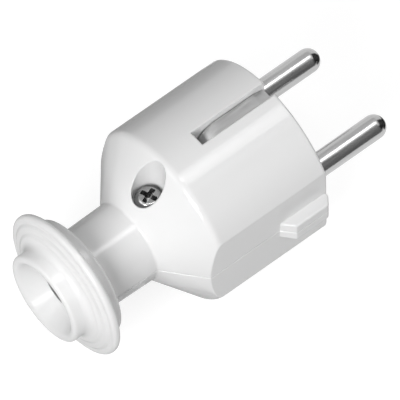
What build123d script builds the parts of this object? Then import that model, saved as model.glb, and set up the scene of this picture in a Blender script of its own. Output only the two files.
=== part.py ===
from build123d import *
from math import atan, cos, sqrt, tan
import os

os.makedirs("parts", exist_ok=True)

# A straight two-pole plug with side earth contacts, in millimetres. X runs from the cord end to the
# pin tips, Y is to the left and Z is up. The origin is the middle of the front face. The housing is
# two moulded halves that part in the plane of the pins.

# Contact pins with a pillar terminal at the rear end
pin_radius = 2.4
pin_pitch = 19.0
pin_reach = 19.0
shoulder_step = 0.5
pillar_step = 0.8
pillar_length = 12.0
pillar_flat = 3.2
wire_hole_radius = 1.6
wire_hole_depth = 7.0
flat_margin = 0.2

# Housing
body_radius = 18.2
body_length = 25.3
cone_length = 8.35
neck_radius = 8.3
neck_taper = 0.2
neck_length = 13.4
wall = 2.2
neck_wall = 2.1
front_wall = 3.0
flat_depth = 2.25
rim_fillet = 2.0
front_fillet = 0.5
neck_fillet = 0.6
lip_height = 0.7
lip_length = 1.5
seam_depth = 0.14

# Guide ribs on the flats
rib_width = 4.4
rib_length = 11.0
rib_ramp = 2.1
rib_proud = 0.2
rib_nose = 1.4
rib_front_height = 0.9
rib_crest_fillet = 0.4
rib_nose_fillet = 1.0
rib_fillet = 0.3

# Ribs, posts and catches inside the housing
partition = 1.6
backstop = 1.5
stop_thickness = 1.4
cradle_thickness = 1.4
cradle_gap = 0.25
wire_way_radius = 2.3
post_radius = 2.0
post_setback = 4.5
post_sink = 0.3
peg_radius = 0.9
peg_height = 2.4
peg_end_gap = 0.4
tongue_thickness = 1.4
tongue_height = 5.0
tongue_root = 6.0
nib_height = 1.6
nib_reach = 0.6
rest_thickness = 1.0
column_radius = 3.2
recess_wall = 1.4
recess_floor = 2.0

# Earth strip and its slots
slot_width = 3.34
slot_setback = 8.0
slot_side_gap = 0.17
slot_floor = 3.1
strip_depth = 1.3
strip_thickness = 0.8
strip_bend = 5.1
strip_nose_length = 2.4
strip_nose_drop = 0.7
strip_nose_bend = 1.0
strip_setback = 0.5
nose_side_room = 1.4
nose_under_room = 0.9

# Earth terminal
plate_thickness = 1.0
plate_width = 6.0
plate_room = 0.6
tab_gap = 0.8
rivet_radius = 1.0
rivet_edge = 0.2
rivet_head_height = 0.7
saddle_size = 6.0
saddle_thickness = 1.0
saddle_lug = 0.7
saddle_fillet = 0.5
earth_screw_offset = 0.25
earth_screw_tail = 2.0

# Screws and nut
housing_screw_radius = 1.5
housing_screw_length = 20.0
housing_screw_chamfer = 0.4
housing_screw_setback = 3.35
housing_head_radius = 2.75
housing_head_height = 2.4
head_side_height = 1.3
head_crown_inset = 0.8
head_crown_fillet = 0.8
head_side_fillet = 0.6
cross_length = 3.4
cross_width = 1.0
cross_depth = 1.5
cross_draft = 14
cross_middle_radius = 0.8
cross_turn = 20
screw_seat = 8.0
recess_gap = 0.45
nut_width = 5.5
nut_height = 2.4
terminal_screw_radius = 1.5
terminal_screw_setback = 0.75
terminal_head_radius = 2.6
terminal_head_height = 2.0
earth_screw_radius = 1.75
earth_head_radius = 2.9
earth_head_height = 1.9
screw_edge_chamfer = 0.3
screw_tip_gap = 0.3
screw_slot_width = 0.8
screw_slot_depth = 1.0

# Cord grip
jaw_length = 6.0
jaw_gap = 0.95
jaw_key = 0.75
jaw_tip_radius = 4.2
jaw_tooth_height = 0.7
jaw_split = 0.8
jaw_teeth = 3

# Cord bush
cord_hole_radius = 4.4
collar_radius = 9.3
bush_reach = 6.6
mouth_rim = 1.4
mouth_depth = 4.0
hub_radius = 12.2
hub_overlap = 2.35
disc_radius = 15.0
disc_thickness = 1.6
disc_setback = 0.35
disc_steps = 2
step_inset = 1.4
step_pitch = 1.7
step_depth = 0.45
step_slope = 0.6
step_fall = 0.1
bush_hook = 1.4
hook_land = 0.6
mouth_fillet = 0.2
mouth_rim_fillet = 1.2
collar_root_fillet = 1.5
bush_fillet = 0.7
hub_fillet = 1.0
step_fillet = 0.3

# Clearances, and how far joined forms reach into each other
seat_gap = 0.05
slide_gap = 0.1
thread_gap = 0.05
embed = 0.5

# Radii and half widths
shoulder_radius = pin_radius + shoulder_step
pillar_radius = shoulder_radius + pillar_step
flat_offset = body_radius - flat_depth
rib_top = body_radius + rib_proud
chamber_radius = body_radius - wall
chamber_half_width = flat_offset - wall
neck_rear_radius = neck_radius - neck_taper
neck_bore_radius = neck_radius - neck_wall
lip_radius = neck_bore_radius - lip_height
channel_half = slot_width / 2
partition_half = channel_half + partition
strip_width = slot_width - 2 * slot_side_gap
strip_face = body_radius - strip_depth
strip_middle = strip_face - strip_thickness / 2
strip_back = strip_face - strip_thickness
rivet_head_radius = channel_half - slot_side_gap
recess_radius = housing_head_radius + recess_gap
column_flare_radius = recess_radius + recess_wall
nut_corner = nut_width / sqrt(3)
jaw_radius = neck_bore_radius + jaw_key
jaw_root_radius = jaw_tip_radius + jaw_tooth_height
mouth_radius = collar_radius - mouth_rim

# Places along the axis
cone_x = -body_length
neck_x = cone_x - cone_length
neck_end_x = neck_x - neck_length
cone_slope = (body_radius - neck_radius) / cone_length
cone_angle = atan(cone_slope)
screw_x = cone_x - housing_screw_setback
slot_end_x = cone_x + slot_setback
pillar_x = -front_wall - seat_gap
pillar_end_x = pillar_x - pillar_length
stop_x = pillar_end_x - seat_gap - stop_thickness
terminal_x = pillar_end_x + wire_hole_depth - terminal_screw_radius - terminal_screw_setback
cradle_offset = terminal_head_radius + cradle_gap + cradle_thickness / 2
post_x = stop_x - post_setback
post_y = chamber_half_width - post_radius + post_sink
web_x = slot_end_x + slide_gap + seat_gap + strip_thickness / 2
web_back_x = web_x - strip_thickness / 2
backstop_x = slot_end_x - seat_gap
backstop_end_x = backstop_x - backstop
leg_x = web_back_x - plate_thickness / 2
tab_end_x = screw_x + column_radius + tab_gap
earth_screw_x = (leg_x + tab_end_x) / 2 - earth_screw_offset
leg_length = plate_thickness + 2 * (rivet_head_radius + rivet_edge)
rivet_z = -plate_thickness - rivet_head_radius - rivet_edge
nose_x = -strip_setback - strip_nose_length
lip_x = neck_end_x + lip_length
hook_x = lip_x + seat_gap
hook_end_x = hook_x + bush_hook
jaw_end_x = hook_end_x + jaw_gap
jaw_x = jaw_end_x + jaw_length
bush_x = neck_end_x - seat_gap
sides = {"left": 1, "right": -1}


def rounded_outline(corners):
    """Draw a closed outline through corners given as x, y and corner radius."""
    points = [(x, y) for x, y, radius in corners]
    FilletPolyline(*points, radius=[radius for x, y, radius in corners], close=True)


def block(x, y, z):
    """Return a box between two x, two y and two z values, not yet joined to a part."""
    with Locations(((x[0] + x[1]) / 2, (y[0] + y[1]) / 2, (z[0] + z[1]) / 2)):
        return Box(abs(x[1] - x[0]), abs(y[1] - y[0]), abs(z[1] - z[0]), mode=Mode.PRIVATE)


def rib_between(x, y):
    """Draw a rectangle between two x and two y values in the current sketch."""
    with Locations(((x[0] + x[1]) / 2, (y[0] + y[1]) / 2)):
        Rectangle(abs(x[1] - x[0]), abs(y[1] - y[0]))


# The hollow inside the two halves: a round chamber with flat sides, the tapered end and the neck
chamber_cone_x = cone_x + wall * tan(cone_angle / 2)
chamber_neck_x = neck_x + (neck_bore_radius - neck_radius + wall / cos(cone_angle)) / cone_slope
with BuildPart() as chamber:
    with BuildSketch(Plane.XZ):
        with BuildLine():
            Polyline(
                (-front_wall, 0),
                (-front_wall, chamber_radius),
                (chamber_cone_x, chamber_radius),
                (chamber_neck_x, neck_bore_radius),
                (lip_x, neck_bore_radius),
                (lip_x, lip_radius),
                (neck_end_x - embed, lip_radius),
                (neck_end_x - embed, 0),
                close=True,
            )
        make_face()
    revolve(axis=Axis.X)
    between_flats = block(
        (neck_end_x - 2 * embed, 0),
        (-chamber_half_width, chamber_half_width),
        (-body_radius, body_radius),
    )
    add(between_flats, mode=Mode.INTERSECT)
    # groove round the neck that holds the cord jaws
    with BuildSketch(Plane.XZ):
        rib_between((jaw_end_x - slide_gap, jaw_x + slide_gap), (0, jaw_radius + seat_gap))
    revolve(axis=Axis.X)
    # partitions beside the earth strip, pillar cradles, pillar stops and posts, left as material
    for side in sides.values():
        ribs_y = (side * partition_half, side * body_radius)
        with BuildSketch(Plane.XY):
            rib_between((backstop_end_x, -front_wall), (side * channel_half, side * partition_half))
            rib_between((stop_x, stop_x + stop_thickness), ribs_y)
            for cradle_x in (terminal_x - cradle_offset, terminal_x + cradle_offset):
                with Locations((cradle_x, sum(ribs_y) / 2)):
                    Rectangle(cradle_thickness, body_radius - partition_half)
            with Locations((post_x, side * post_y)):
                Circle(post_radius)
        extrude(amount=body_radius, both=True, mode=Mode.SUBTRACT)
    # the wall behind the earth strip, and the column round the housing screw
    with BuildSketch(Plane.XY):
        rib_between((backstop_end_x, backstop_x), (-partition_half, partition_half))
        with Locations((screw_x, 0)):
            Circle(column_radius)
    extrude(amount=body_radius, both=True, mode=Mode.SUBTRACT)
    for up in (1, -1):
        # floor under the strip's arm, and the wider end of the screw column
        slot_bed = block(
            (slot_end_x + strip_bend + strip_thickness, -front_wall),
            (-channel_half, channel_half),
            (up * (strip_back - slot_floor), up * body_radius),
        )
        add(slot_bed, mode=Mode.SUBTRACT)
        with BuildSketch(Plane.XY.offset(up * (screw_seat - recess_floor))):
            with Locations((screw_x, 0)):
                Circle(column_flare_radius)
        extrude(amount=up * body_radius, mode=Mode.SUBTRACT)
    # window through the wall behind the strip, for the riveted earth terminal
    window = block(
        (backstop_end_x - slide_gap, web_back_x + seat_gap),
        (-plate_width / 2 - plate_room, plate_width / 2 + plate_room),
        (-leg_length - plate_room, leg_length + plate_room),
    )
    add(window)

# The housing's outline in the seam plane, drawn in by the depth of the groove along the seam
with BuildSketch(Plane.XY) as seam_core:
    with BuildLine():
        Polyline(
            (0, 0),
            (0, flat_offset),
            (-rib_nose, rib_top),
            (-rib_length + rib_ramp, rib_top),
            (-rib_length, flat_offset),
            (neck_x + (flat_offset - neck_radius) / cone_slope, flat_offset),
            (neck_x, neck_radius),
            (neck_end_x, neck_rear_radius),
            (neck_end_x, 0),
            close=True,
        )
    make_face()
    mirror(about=Plane.XZ)
    offset(amount=-seam_depth, kind=Kind.INTERSECTION)

# What a V-shaped groove round that outline takes away
with BuildPart() as seam_groove:
    beside_seam = block(
        (neck_end_x - embed, embed), (-2 * body_radius, 2 * body_radius), (-seam_depth, seam_depth)
    )
    add(beside_seam)
    for height in (seam_depth, -seam_depth):
        extrude(seam_core.sketch, amount=height, taper=-45, mode=Mode.SUBTRACT)

# One guide rib, standing on a flat and rounded over at the plug's front
with BuildPart() as guide_rib:
    with BuildSketch(Plane.XY):
        with BuildLine():
            rounded_outline(
                [
                    (-rib_length, flat_offset - embed, 0),
                    (-rib_length, flat_offset, 0),
                    (-rib_length + rib_ramp, rib_top, rib_crest_fillet),
                    (-rib_nose, rib_top, rib_nose_fillet),
                    (-front_fillet / 2, flat_offset + rib_front_height, 0),
                    (-front_fillet / 2, flat_offset - embed, 0),
                ]
            )
        make_face()
    extrude(amount=rib_width / 2, both=True)
    crests = guide_rib.edges().filter_by(Axis.X).group_by(Axis.Y)[-1]
    fillet(crests, rib_fillet)

# Both halves together: the outside form, hollowed by the chamber
with BuildPart() as housing:
    with BuildSketch(Plane.XZ):
        with BuildLine():
            rounded_outline(
                [
                    (0, 0, 0),
                    (0, body_radius, front_fillet),
                    (cone_x, body_radius, rim_fillet),
                    (neck_x, neck_radius, neck_fillet),
                    (neck_end_x, neck_rear_radius, 0),
                    (neck_end_x, 0, 0),
                ]
            )
        make_face()
    revolve(axis=Axis.X)
    for side in sides.values():
        beyond_flat = block(
            (neck_x, embed), (side * flat_offset, side * 2 * body_radius), (-body_radius, body_radius)
        )
        add(beyond_flat, mode=Mode.SUBTRACT)
    add(guide_rib.part)
    add(guide_rib.part.mirror(Plane.XZ))
    add(chamber.part, mode=Mode.SUBTRACT)
    add(seam_groove.part, mode=Mode.SUBTRACT)
    # earth slots, deeper behind the strip's bend and under its nose
    slot_cuts = [
        ((slot_end_x + strip_bend, embed), strip_back - slide_gap),
        ((slot_end_x, slot_end_x + strip_bend), chamber_radius - embed),
        ((nose_x - nose_side_room, embed), strip_back - strip_nose_drop - nose_under_room),
    ]
    for up in (1, -1):
        for span, depth in slot_cuts:
            groove = block(span, (-channel_half, channel_half), (up * depth, up * 2 * body_radius))
            add(groove, mode=Mode.SUBTRACT)
    # seats of the pins: shoulder hole, pillar bed and wire way
    for side in sides.values():
        seat_plane = Plane(origin=(0, side * pin_pitch / 2, 0), x_dir=(0, 1, 0), z_dir=(-1, 0, 0))
        with BuildSketch(seat_plane):
            Circle(shoulder_radius + seat_gap)
        extrude(amount=front_wall, mode=Mode.SUBTRACT)
        with BuildSketch(seat_plane.offset(front_wall)):
            Circle(pillar_radius + seat_gap)
        extrude(amount=pillar_length + 2 * seat_gap, mode=Mode.SUBTRACT)
        with BuildSketch(seat_plane.offset(-pillar_end_x)):
            Circle(wire_way_radius)
        extrude(amount=stop_thickness + slide_gap, mode=Mode.SUBTRACT)
    # clearance hole of the housing screw
    with BuildSketch(Plane.XY):
        with Locations((screw_x, 0)):
            Circle(housing_screw_radius + slide_gap)
    extrude(amount=screw_seat + embed, both=True, mode=Mode.SUBTRACT)

with BuildPart() as upper_shell:
    add(housing.part)
    split(bisect_by=Plane.XY, keep=Keep.TOP)
    # recess for the screw's head
    with BuildSketch(Plane.XY.offset(screw_seat)):
        with Locations((screw_x, 0)):
            Circle(recess_radius)
    extrude(amount=body_radius, mode=Mode.SUBTRACT)
    # holes in the posts for the lower half's pegs
    with BuildSketch(Plane.XY):
        with Locations((post_x, post_y), (post_x, -post_y)):
            Circle(peg_radius + slide_gap)
    extrude(amount=peg_height + peg_end_gap, mode=Mode.SUBTRACT)
    # pocket in the front wall that the lower half's tongue hooks into
    nib_pocket = block(
        (-front_wall - embed, -front_wall + nib_reach + slide_gap),
        (-channel_half, channel_half),
        (tongue_height - nib_height - slide_gap, tongue_height + slide_gap),
    )
    add(nib_pocket, mode=Mode.SUBTRACT)
upper_shell.part.label = "upper_shell"
export_step(upper_shell.part, "parts/upper_shell.step")

with BuildPart() as lower_shell:
    add(housing.part)
    split(bisect_by=Plane.XY, keep=Keep.BOTTOM)
    # hexagon pocket for the nut, open below
    with BuildSketch(Plane.XY.offset(-screw_seat)):
        with Locations((screw_x, 0)):
            RegularPolygon(nut_corner + seat_gap, 6)
    extrude(amount=-nut_height, mode=Mode.SUBTRACT)
    with BuildSketch(Plane.XY.offset(-screw_seat - nut_height)):
        with Locations((screw_x, 0)):
            Circle(nut_corner + slide_gap)
    extrude(amount=-body_radius, mode=Mode.SUBTRACT)
    # pegs on the posts
    with BuildSketch(Plane.XY.offset(-embed)):
        with Locations((post_x, post_y), (post_x, -post_y)):
            Circle(peg_radius)
    extrude(amount=peg_height + embed)
    # tongue with a nib that hooks into the upper half's front wall
    tongue_x = -front_wall - slide_gap
    with BuildSketch(Plane.XZ):
        with BuildLine():
            Polyline(
                (-front_wall + embed, -embed),
                (-front_wall + embed, -tongue_root),
                (tongue_x - tongue_thickness, -tongue_root),
                (tongue_x - tongue_thickness, tongue_height),
                (tongue_x, tongue_height),
                (-front_wall + nib_reach, tongue_height - nib_reach),
                (-front_wall + nib_reach, tongue_height - nib_height),
                (tongue_x, tongue_height - nib_height),
                (tongue_x, -embed),
                close=True,
            )
        make_face()
    extrude(amount=channel_half - slide_gap, both=True)
    # rest under the end of the earth terminal's tab
    rest = block(
        (tab_end_x, tab_end_x + rest_thickness),
        (-plate_width / 2, plate_width / 2),
        (-plate_thickness / 2 - seat_gap, -chamber_radius - wall / 2),
    )
    add(rest)
lower_shell.part.label = "lower_shell"
export_step(lower_shell.part, "parts/lower_shell.step")

# Turned contact pins, each with its terminal screw
for name, side in sides.items():
    axis_y = side * pin_pitch / 2
    terminal_seat = Plane(origin=(terminal_x, axis_y, pillar_flat))
    with BuildPart() as contact_pin:
        with BuildSketch(Plane(origin=(0, axis_y, 0), x_dir=(1, 0, 0), z_dir=(0, -1, 0))):
            with BuildLine():
                Polyline(
                    (pin_reach, 0),
                    (pillar_end_x, 0),
                    (pillar_end_x, pillar_radius),
                    (pillar_x, pillar_radius),
                    (pillar_x, shoulder_radius),
                    (0, shoulder_radius),
                    (0, pin_radius),
                    (pin_reach - pin_radius, pin_radius),
                )
                RadiusArc((pin_reach - pin_radius, pin_radius), (pin_reach, 0), pin_radius)
            make_face()
        revolve(axis=Axis((0, axis_y, 0), (1, 0, 0)))
        # bore for the wire, milled seat and tapped hole for the terminal screw
        with BuildSketch(Plane(origin=(pillar_end_x, axis_y, 0), x_dir=(0, 1, 0), z_dir=(1, 0, 0))):
            Circle(wire_hole_radius)
        extrude(amount=wire_hole_depth, mode=Mode.SUBTRACT)
        with BuildSketch(terminal_seat):
            Rectangle(2 * (terminal_head_radius + flat_margin), 2 * pillar_radius)
        extrude(amount=pillar_radius, mode=Mode.SUBTRACT)
        with BuildSketch(terminal_seat):
            Circle(terminal_screw_radius + thread_gap)
        extrude(amount=-pillar_flat, mode=Mode.SUBTRACT)
    contact_pin.part.label = f"contact_pin_{name}"
    export_step(contact_pin.part, f"parts/contact_pin_{name}.step")

    with BuildPart() as terminal_screw:
        with BuildSketch(terminal_seat):
            Circle(terminal_head_radius)
        extrude(amount=terminal_head_height)
        chamfer(terminal_screw.edges().group_by(Axis.Z)[-1], screw_edge_chamfer)
        with BuildSketch(terminal_seat):
            Circle(terminal_screw_radius)
        extrude(amount=-pillar_flat + screw_tip_gap)
        with BuildSketch(terminal_seat.offset(terminal_head_height)):
            Rectangle(screw_slot_width, 2 * terminal_head_radius)
        extrude(amount=-screw_slot_depth, mode=Mode.SUBTRACT)
    terminal_screw.part.label = f"terminal_screw_{name}"
    export_step(terminal_screw.part, f"parts/terminal_screw_{name}.step")

# Earth strip: one bent strip with a contact arm in each slot and a web between the pins
upper_arm = [
    (-strip_setback, strip_middle - strip_nose_drop),
    (nose_x, strip_middle),
    (web_x, strip_middle),
]
lower_arm = [(x, -z) for x, z in reversed(upper_arm)]
with BuildPart() as earth_strip:
    with BuildSketch(Plane.XZ):
        with BuildLine():
            FilletPolyline(
                *upper_arm,
                *lower_arm,
                radius=[strip_nose_bend, strip_bend, strip_bend, strip_nose_bend],
            )
        trace(line_width=strip_thickness)
    extrude(amount=strip_width / 2, both=True)
    with BuildSketch(Plane.YZ.offset(web_x - strip_thickness)):
        with Locations((0, rivet_z)):
            Circle(rivet_radius + seat_gap)
    extrude(amount=2 * strip_thickness, mode=Mode.SUBTRACT)
earth_strip.part.label = "earth_strip"
export_step(earth_strip.part, "parts/earth_strip.step")

# Angled earth terminal plate, riveted to the back of the web
with BuildPart() as earth_plate:
    with BuildSketch(Plane.XZ):
        with BuildLine():
            FilletPolyline(
                (leg_x, -leg_length), (leg_x, 0), (tab_end_x, 0), radius=plate_thickness
            )
        trace(line_width=plate_thickness)
    extrude(amount=plate_width / 2, both=True)
    with BuildSketch(Plane.YZ.offset(leg_x - plate_thickness)):
        with Locations((0, rivet_z)):
            Circle(rivet_radius + seat_gap)
    extrude(amount=2 * plate_thickness, mode=Mode.SUBTRACT)
    with BuildSketch(Plane.XY.offset(-plate_thickness)):
        with Locations((earth_screw_x, 0)):
            Circle(earth_screw_radius + thread_gap)
    extrude(amount=2 * plate_thickness, mode=Mode.SUBTRACT)
earth_plate.part.label = "earth_plate"
export_step(earth_plate.part, "parts/earth_plate.step")

# Rivet with a domed head on each side
rivet_front = web_x + strip_thickness / 2
rivet_back = leg_x - plate_thickness / 2
rivet_line = Plane(origin=(0, 0, rivet_z), x_dir=(1, 0, 0), z_dir=(0, -1, 0))
dome_radius = (rivet_head_radius**2 + rivet_head_height**2) / (2 * rivet_head_height)
with BuildPart() as earth_rivet:
    with BuildSketch(rivet_line):
        with BuildLine():
            Polyline(
                (rivet_front, rivet_head_radius),
                (rivet_front, rivet_radius),
                (rivet_back, rivet_radius),
                (rivet_back, rivet_head_radius),
            )
            RadiusArc(
                (rivet_back, rivet_head_radius), (rivet_back - rivet_head_height, 0), -dome_radius
            )
            Line((rivet_back - rivet_head_height, 0), (rivet_front + rivet_head_height, 0))
            RadiusArc(
                (rivet_front + rivet_head_height, 0), (rivet_front, rivet_head_radius), -dome_radius
            )
        make_face()
    revolve(axis=Axis((0, 0, rivet_z), (1, 0, 0)))
earth_rivet.part.label = "earth_rivet"
export_step(earth_rivet.part, "parts/earth_rivet.step")

# Saddle washer with turned-down lugs beside the tab
saddle_z = plate_thickness / 2
saddle_half = plate_width / 2 + slide_gap + saddle_lug
with BuildPart() as earth_saddle:
    with BuildSketch(Plane.XY.offset(saddle_z)):
        with Locations((earth_screw_x, 0)):
            Rectangle(saddle_size, 2 * saddle_half)
            Circle(earth_screw_radius + slide_gap, mode=Mode.SUBTRACT)
    extrude(amount=saddle_thickness)
    fillet(earth_saddle.edges().filter_by(Axis.X).group_by(Axis.Z)[-1], saddle_fillet)
    with BuildSketch(Plane.XY.offset(saddle_z)):
        for side in sides.values():
            with Locations((earth_screw_x, side * (saddle_half - saddle_lug / 2))):
                Rectangle(saddle_size, saddle_lug)
    extrude(amount=-plate_thickness)
earth_saddle.part.label = "earth_saddle"
export_step(earth_saddle.part, "parts/earth_saddle.step")

earth_seat = Plane(origin=(earth_screw_x, 0, saddle_z + saddle_thickness))
with BuildPart() as earth_screw:
    with BuildSketch(earth_seat):
        Circle(earth_head_radius)
    extrude(amount=earth_head_height)
    chamfer(earth_screw.edges().group_by(Axis.Z)[-1], screw_edge_chamfer)
    with BuildSketch(earth_seat):
        Circle(earth_screw_radius)
    extrude(amount=-saddle_thickness - plate_thickness - earth_screw_tail)
    with BuildSketch(earth_seat.offset(earth_head_height)):
        Rectangle(screw_slot_width, 2 * earth_head_radius)
    extrude(amount=-screw_slot_depth, mode=Mode.SUBTRACT)
earth_screw.part.label = "earth_screw"
export_step(earth_screw.part, "parts/earth_screw.step")

# Pan head screw with a cross recess, and the nut that it pulls up
head_top = screw_seat + housing_head_height
screw_end = screw_seat - housing_screw_length
with BuildPart() as housing_screw:
    with BuildSketch(Plane(origin=(screw_x, 0, 0), x_dir=(1, 0, 0), z_dir=(0, -1, 0))):
        with BuildLine():
            rounded_outline(
                [
                    (0, screw_end, 0),
                    (0, head_top, 0),
                    (housing_head_radius - head_crown_inset, head_top, head_crown_fillet),
                    (housing_head_radius, screw_seat + head_side_height, head_side_fillet),
                    (housing_head_radius, screw_seat, 0),
                    (housing_screw_radius, screw_seat, 0),
                    (housing_screw_radius, screw_end, housing_screw_chamfer),
                ]
            )
        make_face()
    revolve(axis=Axis((screw_x, 0, 0), (0, 0, 1)))
    with BuildSketch(Plane(origin=(screw_x, 0, head_top)).rotated((0, 0, cross_turn))):
        Rectangle(cross_length, cross_width)
        Rectangle(cross_width, cross_length)
        Circle(cross_middle_radius)
    extrude(amount=-cross_depth, taper=cross_draft, mode=Mode.SUBTRACT)
housing_screw.part.label = "housing_screw"
export_step(housing_screw.part, "parts/housing_screw.step")

with BuildPart() as housing_nut:
    with BuildSketch(Plane.XY.offset(-screw_seat)):
        with Locations((screw_x, 0)):
            RegularPolygon(nut_corner, 6)
            Circle(housing_screw_radius + thread_gap, mode=Mode.SUBTRACT)
    extrude(amount=-nut_height)
housing_nut.part.label = "housing_nut"
export_step(housing_nut.part, "parts/housing_nut.step")

# Two toothed half rings that grip the cord's sheath in the neck
tooth_pitch = jaw_length / jaw_teeth
tooth_points = [(jaw_end_x, jaw_root_radius)]
for tooth in range(jaw_teeth):
    tooth_x = jaw_end_x + tooth * tooth_pitch
    tooth_points.append((tooth_x + tooth_pitch / 2, jaw_tip_radius))
    tooth_points.append((tooth_x + tooth_pitch, jaw_root_radius))
with BuildPart() as cord_grip:
    with BuildSketch(Plane.XZ):
        with BuildLine():
            Polyline(*tooth_points, (jaw_x, jaw_radius), (jaw_end_x, jaw_radius), close=True)
        make_face()
    revolve(axis=Axis.X)
with BuildPart() as cord_jaw_upper:
    add(cord_grip.part)
    split(bisect_by=Plane.XY.offset(jaw_split / 2), keep=Keep.TOP)
cord_jaw_upper.part.label = "cord_jaw_upper"
export_step(cord_jaw_upper.part, "parts/cord_jaw_upper.step")
with BuildPart() as cord_jaw_lower:
    add(cord_grip.part)
    split(bisect_by=Plane.XY.offset(-jaw_split / 2), keep=Keep.BOTTOM)
cord_jaw_lower.part.label = "cord_jaw_lower"
export_step(cord_jaw_lower.part, "parts/cord_jaw_lower.step")

# Flanged cord bush: hub over the neck's end, stepped disc, collar with a wide mouth, and a hooked
# sleeve that the two halves trap
disc_front = bush_x - disc_setback
disc_back = disc_front - disc_thickness
collar_end = bush_x - bush_reach
disc_outline = []
for ring in range(disc_steps):
    ring_x = disc_back - ring * step_depth
    ring_radius = disc_radius - step_inset - ring * step_pitch
    fall = step_fall if ring else 0
    disc_outline.append((ring_x - fall, ring_radius, 0))
    disc_outline.append((ring_x - step_depth, ring_radius - step_slope, step_fillet))
with BuildPart() as cord_bush:
    with BuildSketch(Plane.XZ):
        with BuildLine():
            rounded_outline(
                [
                    (bush_x + hub_overlap, neck_radius + seat_gap, 0),
                    (bush_x + hub_overlap, hub_radius, hub_fillet),
                    (disc_front, hub_radius, 0),
                    (disc_front, disc_radius, bush_fillet),
                    (disc_back, disc_radius, bush_fillet),
                    *disc_outline,
                    (disc_back - disc_steps * step_depth - step_fall, collar_radius, collar_root_fillet),
                    (collar_end, collar_radius, bush_fillet),
                    (collar_end, mouth_radius, mouth_rim_fillet),
                    (collar_end + mouth_depth, cord_hole_radius, mouth_fillet),
                    (hook_end_x, cord_hole_radius, 0),
                    (hook_end_x, lip_radius, 0),
                    (hook_x + hook_land, neck_bore_radius - slide_gap, 0),
                    (hook_x, neck_bore_radius - slide_gap, 0),
                    (hook_x, lip_radius - slide_gap, 0),
                    (bush_x, lip_radius - slide_gap, 0),
                    (bush_x, neck_radius + seat_gap, 0),
                ]
            )
        make_face()
    revolve(axis=Axis.X)
cord_bush.part.label = "cord_bush"
export_step(cord_bush.part, "parts/cord_bush.step")
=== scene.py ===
from math import radians

import bpy
from mathutils import Matrix, Vector


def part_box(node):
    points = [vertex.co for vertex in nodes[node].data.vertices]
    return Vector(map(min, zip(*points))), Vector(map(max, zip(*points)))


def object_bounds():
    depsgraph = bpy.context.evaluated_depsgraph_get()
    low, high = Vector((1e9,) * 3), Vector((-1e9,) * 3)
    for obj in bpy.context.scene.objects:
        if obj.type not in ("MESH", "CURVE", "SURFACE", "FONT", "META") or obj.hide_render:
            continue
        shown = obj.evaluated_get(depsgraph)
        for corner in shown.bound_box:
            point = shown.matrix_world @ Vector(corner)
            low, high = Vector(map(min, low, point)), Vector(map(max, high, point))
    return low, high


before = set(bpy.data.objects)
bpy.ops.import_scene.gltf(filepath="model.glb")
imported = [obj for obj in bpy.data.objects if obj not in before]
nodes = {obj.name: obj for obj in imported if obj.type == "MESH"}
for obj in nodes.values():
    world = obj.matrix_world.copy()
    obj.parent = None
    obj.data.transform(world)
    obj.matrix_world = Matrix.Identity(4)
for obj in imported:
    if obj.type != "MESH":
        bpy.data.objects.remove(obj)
cad_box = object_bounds()

# Everything is in metres, in the plug's own frame: X out along the pins, Z up, origin in the middle
# of the front face. The plug has no moving parts, so all of it is the CAD's own pieces.

middle = (cad_box[0] + cad_box[1]) / 2
floor_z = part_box("lower_shell")[0].z

# Camera: nearly parallel, aimed at the middle of the photograph
image_size = 400
pixels_per_metre = 5452.8
aim_point = Vector((-0.01571, 0.00143, -0.00558))
camera_right = Vector((0.77341537, -0.63375569, -0.01350525))
camera_back = Vector((-0.33662955, -0.42867824, 0.83840057))
lens = 1200.0
sensor = 36.0
clip_ratio = 10

# Four square lamps around the plug: the direction each comes from, and its power in watts
lamp_distance = 0.8
key_from = Vector((-0.776, -0.374, 0.505)).normalized()
left_from = Vector((-0.72, 0.34, 0.6)).normalized()
fill_from = Vector((0.938, -0.227, 0.261)).normalized()
side_from = Vector((0.168, -0.715, 0.679)).normalized()
key_size = (0.35, 0.35)
soft_size = (0.4, 0.4)
key_power = 4.95
left_power = 0.9
fill_power = 1.0
side_power = 1.38

# Three panels overhead that face straight down
panel_z = 0.8
down = Vector((0, 0, -1))
top_place = Vector((0.2, -0.072, panel_z))
rear_place = Vector((0.2, 0.365, panel_z))
strip_place = Vector((0.05, -0.069, panel_z))
top_size = (0.4, 0.235)
rear_size = (0.4, 0.6)
strip_size = (0.42, 0.04)
top_power = 0.9
rear_power = 1.1
strip_power = 1.2

# The room: what lights the plug from all round, and what lens and gloss see
ambient = 0.02
room_glow = 1.0
floor_glow = 0.84
floor_half = 1.5

# Cards that only gloss sees, and how bright it sees them. Mats lie just above the floor.
mat_z = floor_z + 0.0002
card_top = 0.7
rear_level = 0.74
side_level = 0.17
end_level = 0.01
outline_level = 0.4
outline_rear_level = 0.65

# White plastic: tones, roughness and orange peel. Cells are counted per metre. No roughness crosses
# 0.27, where the denoiser leaves blotches.
white_tones = (0.82, 0.835)
white_specular = 0.4
flow_cells = 90.0
gloss_cells = 240.0
gloss_range = 0.04
housing_gloss = 0.07
bush_gloss = 0.21
peel_cells = 600.0
peel_height = 0.00001
peel_strength = 0.15

# Metals: base tone and roughness, how far both vary along the grain, and how far it is drawn out
pin_tone = 0.5
earth_tone = 0.45
screw_tone = 0.36
tone_spread = (0.85, 1.1)
pin_roughness = 0.18
earth_roughness = 0.36
screw_roughness = 0.2
roughness_spread = (0.8, 1.25)
grain_cells = 2200.0
grain_height = 0.000012
grain_strength = 0.35
drawn = (0.1, 1, 1)
rolled = (0.12, 1, 1)
undrawn = (1, 1, 1)

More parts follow.
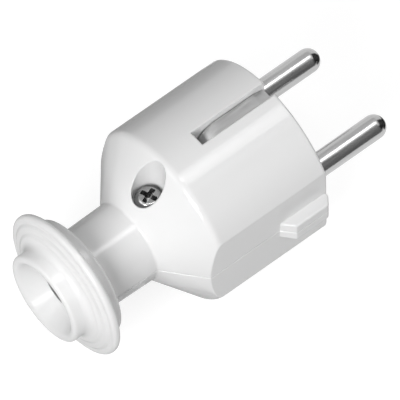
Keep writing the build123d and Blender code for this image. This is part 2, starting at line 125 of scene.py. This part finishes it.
# Matt plastic of the cord grip's jaws, and the floor
jaw_tones = (0.4, 0.47)
jaw_roughness = 0.55
jaw_tone_cells = 200.0
jaw_grit_cells = 1200.0
jaw_grit_height = 0.00002
jaw_grit_strength = 0.3
floor_tones = (0.29, 0.31)
floor_roughness = 0.9
floor_cells = 40.0

# Edges: radii that the materials round them by, and the angle from which an edge stays crisp
plastic_edge = 0.0004
metal_edge = 0.00015
edge_samples = 6
crisp_angle = radians(28)

# The bush's hole, read from the photograph as nearly black: painted shade, the bore's wall coloured
# dark where shade falls deep in the hole
hole_radius = 0.00442
hole_edge = 0.00005
hole_shade_tone = 0.03


class Nodes:
    """Short calls for the nodes of one material or world."""

    def __init__(self, tree):
        self.tree = tree

    def node(self, kind, **inputs):
        made = self.tree.nodes.new(kind)
        for key, value in inputs.items():
            made.inputs[key.replace("_", " ")].default_value = value
        return made

    def link(self, source, target):
        self.tree.links.new(source, target)

    def map_range(self, value, low, high, start=0.3, end=0.7):
        """Maps a value from start..end, the middle of a noise unless given, to low..high."""
        made = self.node("ShaderNodeMapRange", From_Min=start, From_Max=end, To_Min=low, To_Max=high)
        self.link(value, made.inputs["Value"])
        return made.outputs["Result"]

    def seen(self, hidden, shown):
        """One level for rays from the lens, gloss and glass, another for rays that light the plug."""
        rays = self.node("ShaderNodeLightPath")
        total = rays.outputs["Is Camera Ray"]
        for output in ("Is Glossy Ray", "Is Transmission Ray"):
            larger = self.node("ShaderNodeMath")
            larger.operation = "MAXIMUM"
            self.link(total, larger.inputs[0])
            self.link(rays.outputs[output], larger.inputs[1])
            total = larger.outputs["Value"]
        return self.map_range(total, hidden, shown, start=0.0, end=1.0)


class Surface(Nodes):
    """A material with a principled shader and textures in the plug's own space."""

    def __init__(self, name):
        self.material = bpy.data.materials.new(name)
        self.material.use_nodes = True
        super().__init__(self.material.node_tree)
        self.principled = self.tree.nodes["Principled BSDF"]
        self.place = self.node("ShaderNodeTexCoord").outputs["Object"]

    def noise(self, scale, detail=2.0, stretch=None):
        """Noise with so many cells per metre, stretched along some axes."""
        made = self.node("ShaderNodeTexNoise", Scale=scale, Detail=detail)
        source = self.place
        if stretch:
            mapping = self.node("ShaderNodeMapping", Scale=stretch)
            self.link(source, mapping.inputs["Vector"])
            source = mapping.outputs["Vector"]
        self.link(source, made.inputs["Vector"])
        return made.outputs["Fac"]

    def grey_ramp(self, value, levels):
        """Two greys over a value from 0 to 1."""
        made = self.node("ShaderNodeValToRGB")
        for element, level in zip(made.color_ramp.elements, levels):
            element.color = grey(level)
        self.link(value, made.inputs["Fac"])
        return made.outputs["Color"]

    def bump(self, height, distance, strength=1.0, over=None):
        """A bump of the given height in metres, laid over another normal."""
        made = self.node("ShaderNodeBump", Strength=strength, Distance=distance)
        self.link(height, made.inputs["Height"])
        if over:
            self.link(over, made.inputs["Normal"])
        return made.outputs["Normal"]

    def soft_edges(self, radius):
        """Normals rounded over the edges, as moulded and stamped edges are."""
        made = self.node("ShaderNodeBevel", Radius=radius)
        made.samples = edge_samples
        return made.outputs["Normal"]

    def from_axis(self):
        """Distance from the plug's long axis."""
        flat = self.node("ShaderNodeVectorMath")
        flat.operation = "MULTIPLY"
        flat.inputs[1].default_value = (0, 1, 1)
        self.link(self.place, flat.inputs[0])
        length = self.node("ShaderNodeVectorMath")
        length.operation = "LENGTH"
        self.link(flat.outputs["Vector"], length.inputs[0])
        return length.outputs["Value"]

    def paint_hole_shade(self, color):
        """Painted shade: nearly black inside the cord's hole, where shade falls, the given colour
        outside it.
        """
        start, end = hole_radius - hole_edge, hole_radius + hole_edge
        outside = self.map_range(self.from_axis(), 0.0, 1.0, start, end)
        mix = self.node("ShaderNodeMix")
        mix.data_type = "RGBA"
        self.link(outside, mix.inputs["Factor"])
        inner, outer = (socket for socket in mix.inputs if socket.type == "RGBA")
        inner.default_value = grey(hole_shade_tone)
        self.link(color, outer)
        return next(socket for socket in mix.outputs if socket.type == "RGBA")

    def set(self, **inputs):
        for key, value in inputs.items():
            socket = self.principled.inputs[key.replace("_", " ")]
            if hasattr(value, "is_linked"):
                self.link(value, socket)
            else:
                socket.default_value = value


def grey(level):
    return (level, level, level, 1)


def white_plastic(name, gloss, painted_hole_shade=False):
    """Moulded white plastic: satin gloss, soft edges, a trace of orange peel and of flow marks."""
    made = Surface(name)
    color = made.grey_ramp(made.noise(flow_cells), white_tones)
    # painted shade inside the cord's hole: its wall coloured nearly black
    if painted_hole_shade:
        color = made.paint_hole_shade(color)
    peel = made.noise(peel_cells, detail=1.0)
    made.set(
        Base_Color=color,
        Roughness=made.map_range(made.noise(gloss_cells), gloss, gloss + gloss_range),
        Normal=made.bump(peel, peel_height, peel_strength, over=made.soft_edges(plastic_edge)),
        Specular_IOR_Level=white_specular,
    )
    return made.material


def metal(name, tone, roughness, grain):
    """Plated metal: soft changes of tone, fine drawn or brushed lines."""
    made = Surface(name)
    lines = made.noise(grain_cells, stretch=grain)
    made.set(
        Base_Color=made.grey_ramp(lines, [tone * share for share in tone_spread]),
        Metallic=1.0,
        Roughness=made.map_range(lines, *(roughness * share for share in roughness_spread)),
        Normal=made.bump(lines, grain_height, grain_strength, over=made.soft_edges(metal_edge)),
    )
    return made.material


def jaw_plastic(name):
    """Matt grey moulded plastic."""
    made = Surface(name)
    grit = made.noise(jaw_grit_cells)
    made.set(
        Base_Color=made.grey_ramp(made.noise(jaw_tone_cells), jaw_tones),
        Roughness=jaw_roughness,
        Normal=made.bump(grit, jaw_grit_height, jaw_grit_strength),
    )
    return made.material


def dress(material, *names):
    """Gives CAD nodes a material and smooth shading with crisp edges."""
    for name in names:
        mesh = nodes[name].data
        mesh.materials.clear()
        mesh.materials.append(material)
        mesh.shade_smooth()
        mesh.set_sharp_from_angle(angle=crisp_angle)


def link_object(name, data, matrix=None):
    made = bpy.data.objects.new(name, data)
    bpy.context.scene.collection.objects.link(made)
    if matrix:
        made.matrix_world = matrix
    return made


def make_camera():
    """A long lens at the photograph's viewing angle."""
    up = camera_back.cross(camera_right)
    distance = lens / sensor * image_size / pixels_per_metre
    turn = Matrix((camera_right, up, camera_back)).transposed().to_4x4()
    place = Matrix.Translation(aim_point + distance * camera_back)
    camera = link_object("camera", bpy.data.cameras.new("camera"), place @ turn)
    camera.data.lens = lens
    camera.data.sensor_width = sensor
    camera.data.clip_start = distance / clip_ratio
    camera.data.clip_end = distance * clip_ratio
    bpy.context.scene.camera = camera


def sheet(name, corners, material):
    """A flat stage piece."""
    mesh = bpy.data.meshes.new(name)
    mesh.from_pydata(corners, [], [tuple(range(len(corners)))])
    mesh.materials.append(material)
    made = link_object(name, mesh)
    return made


def make_floor():
    """A plain pale floor that keeps the plug's soft shadow."""
    made = Surface("floor_pale")
    made.set(
        Base_Color=made.grey_ramp(made.noise(floor_cells), floor_tones),
        Roughness=floor_roughness,
        Specular_IOR_Level=0.0,
        Emission_Color=grey(1.0),
        Emission_Strength=made.seen(ambient, floor_glow),
    )
    signs = ((-1, -1), (1, -1), (1, 1), (-1, 1))
    sheet("floor", [(x * floor_half, y * floor_half, floor_z) for x, y in signs], made.material)


def make_world():
    """Faint light from all round, and a white room for the lens and for gloss."""
    world = bpy.data.worlds.new("studio")
    bpy.context.scene.world = world
    world.use_nodes = True
    made = Nodes(world.node_tree)
    background = world.node_tree.nodes["Background"]
    background.inputs["Color"].default_value = grey(1.0)
    made.link(made.seen(ambient, room_glow), background.inputs["Strength"])


def softbox(name, place, target, size, power):
    """A rectangular area lamp turned to a target."""
    data = bpy.data.lights.new(name, "AREA")
    data.shape = "RECTANGLE"
    data.size, data.size_y = size
    data.energy = power
    turn = (target - place).to_track_quat("-Z", "Y").to_matrix().to_4x4()
    return link_object(name, data, Matrix.Translation(place) @ turn)


def lamp_round(name, direction, size, power):
    """A lamp beside the plug that faces its middle."""
    return softbox(name, middle + lamp_distance * direction, middle, size, power)


def panel(name, place, size, power):
    """A lamp overhead that faces straight down."""
    return softbox(name, place, place + down, size, power)


def card(name, corners, level):
    """A card beside the plug that only its gloss shows."""
    made = Surface(name)
    made.set(
        Base_Color=grey(0.0),
        Specular_IOR_Level=0.0,
        Emission_Color=grey(1.0),
        Emission_Strength=level,
    )
    flag = sheet(name, corners, made.material)
    flag.visible_camera = False
    flag.visible_diffuse = False
    flag.visible_shadow = False
    flag.visible_transmission = False


def flat_card(name, z, level, *outline):
    """A level card, from its outline in X and Y."""
    card(name, [(x, y, z) for x, y in outline], level)


def standing_card(name, level, start, end):
    """An upright card on the floor, from one end of its foot to the other."""
    foot = [(*start, floor_z), (*end, floor_z)]
    head = [(*end, card_top), (*start, card_top)]
    card(name, foot + head, level)


dress(white_plastic("housing_white", housing_gloss), "upper_shell", "lower_shell")
# the bush's plastic has painted shade inside its cord hole
dress(white_plastic("bush_white", bush_gloss, painted_hole_shade=True), "cord_bush")
dress(metal("pin_nickel", pin_tone, pin_roughness, drawn), "contact_pin_left", "contact_pin_right")
dress(
    metal("earth_steel", earth_tone, earth_roughness, rolled),
    "earth_strip",
    "earth_plate",
    "earth_rivet",
)
dress(
    metal("screw_steel", screw_tone, screw_roughness, undrawn),
    "housing_screw",
    "housing_nut",
    "terminal_screw_left",
    "terminal_screw_right",
    "earth_saddle",
    "earth_screw",
)
dress(jaw_plastic("jaw_grey"), "cord_jaw_upper", "cord_jaw_lower")

make_camera()
make_floor()
make_world()
lamp_round("key_light", key_from, key_size, key_power)
lamp_round("left_light", left_from, soft_size, left_power)
lamp_round("fill_light", fill_from, soft_size, fill_power)
lamp_round("side_light", side_from, soft_size, side_power)
panel("top_light", top_place, top_size, top_power)
# gloss shows the grey rear card in place of the rear panel
panel("rear_light", rear_place, rear_size, rear_power).visible_glossy = False
# a lamp for gloss alone draws the thin streak along the neck
panel("strip_light", strip_place, strip_size, strip_power).visible_diffuse = False

flat_card("rear_card", panel_z, rear_level, (-0.1, 0.065), (0.9, 0.065), (0.9, 1.0), (-0.1, 1.0))
# dark cards along the side: the pins' dark bands
card(
    "side_card",
    [(-0.1, -0.35, floor_z), (0.2, -0.35, floor_z), (0.27, -0.26, 0.54), (-0.1, -0.26, 0.54)],
    side_level,
)
flat_card(
    "side_mat", mat_z, side_level, (0.02, -0.35), (0.2, -0.35), (0.2, -0.075), (0.02, -0.075)
)
# grey mats behind the plug: the darker outline of body and neck, and a lighter one of the cone.
# Their edges follow the plug's reflections, and pass beside those of the pins.
flat_card(
    "under_mat",
    mat_z,
    outline_level,
    (-0.031, -0.015),
    (-0.01, -0.015),
    (0.0, 0.02),
    (0.018, 0.05),
    (0.045, 0.117),
    (0.08, 0.22),
    (0.41, 1.2),
    (0.3, 1.2),
    (-0.012, 0.1),
    (-0.031, 0.045),
)
flat_card(
    "rear_mat",
    mat_z,
    outline_rear_level,
    (-0.06, -0.015),
    (-0.0312, -0.015),
    (-0.0312, 0.045),
    (-0.0122, 0.1),
    (-0.06, 0.1),
)
# dark cards beyond the pins' tips: the dark crescents on them
standing_card("corner_card", end_level, (0.2, -0.37), (0.6, -0.62))
standing_card("end_card", end_level, (0.6, -0.62), (0.6, 0.12))
flat_card("end_mat", mat_z, end_level, (0.045, -0.03), (0.6, -0.5), (0.6, 0.1), (0.045, 0.015))

bpy.context.scene.view_settings.view_transform = "Standard"
